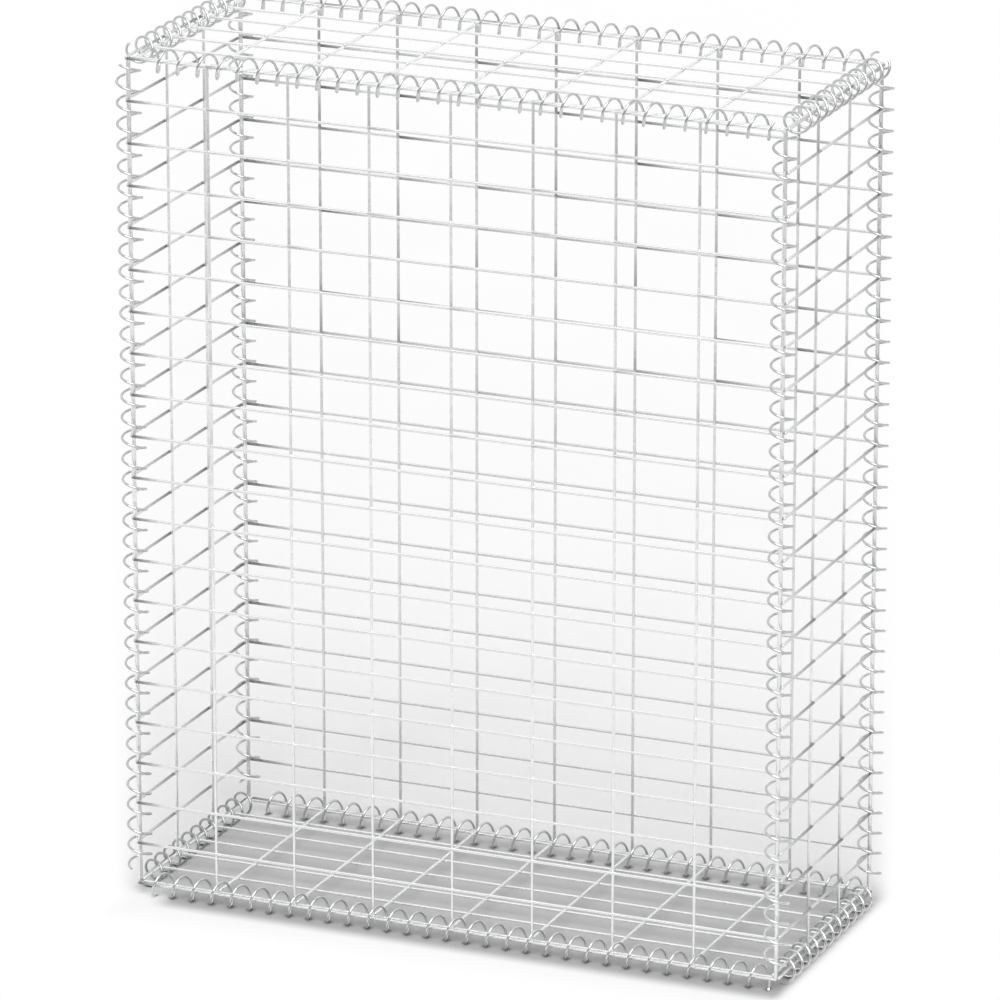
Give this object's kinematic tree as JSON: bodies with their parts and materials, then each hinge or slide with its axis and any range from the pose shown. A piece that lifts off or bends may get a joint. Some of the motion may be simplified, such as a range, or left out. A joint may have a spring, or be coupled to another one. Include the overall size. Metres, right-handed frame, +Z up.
{
  "type": "gabion basket",
  "caption": "Empty upright gabion basket of welded wire mesh, laced along every edge by wire spirals, to be filled with stones as a bay of a garden wall.",
  "frame": {"origin": "on the floor, under the middle of the basket", "axes": "+X along the width, to the right seen from the front, +Y from the front to the back, +Z up"},
  "size_m": [0.83, 0.3338, 1.03],
  "materials": {
    "mesh_wire": "galvanised, satin",
    "spiral_wire": "galvanised, satin"
  },
  "bodies": {
    "root": {"front_panel": "mesh_wire", "back_panel": "mesh_wire", "left_panel": "mesh_wire", "right_panel": "mesh_wire", "lid_panel": "mesh_wire", "base_panel": "mesh_wire", "front_left_spiral": "spiral_wire", "front_right_spiral": "spiral_wire", "back_right_spiral": "spiral_wire", "back_left_spiral": "spiral_wire", "lid_front_spiral": "spiral_wire", "lid_back_spiral": "spiral_wire", "base_front_spiral": "spiral_wire", "base_back_spiral": "spiral_wire", "lid_left_spiral": "spiral_wire", "lid_right_spiral": "spiral_wire", "base_left_spiral": "spiral_wire", "base_right_spiral": "spiral_wire"}
  },
  "joints": []
}
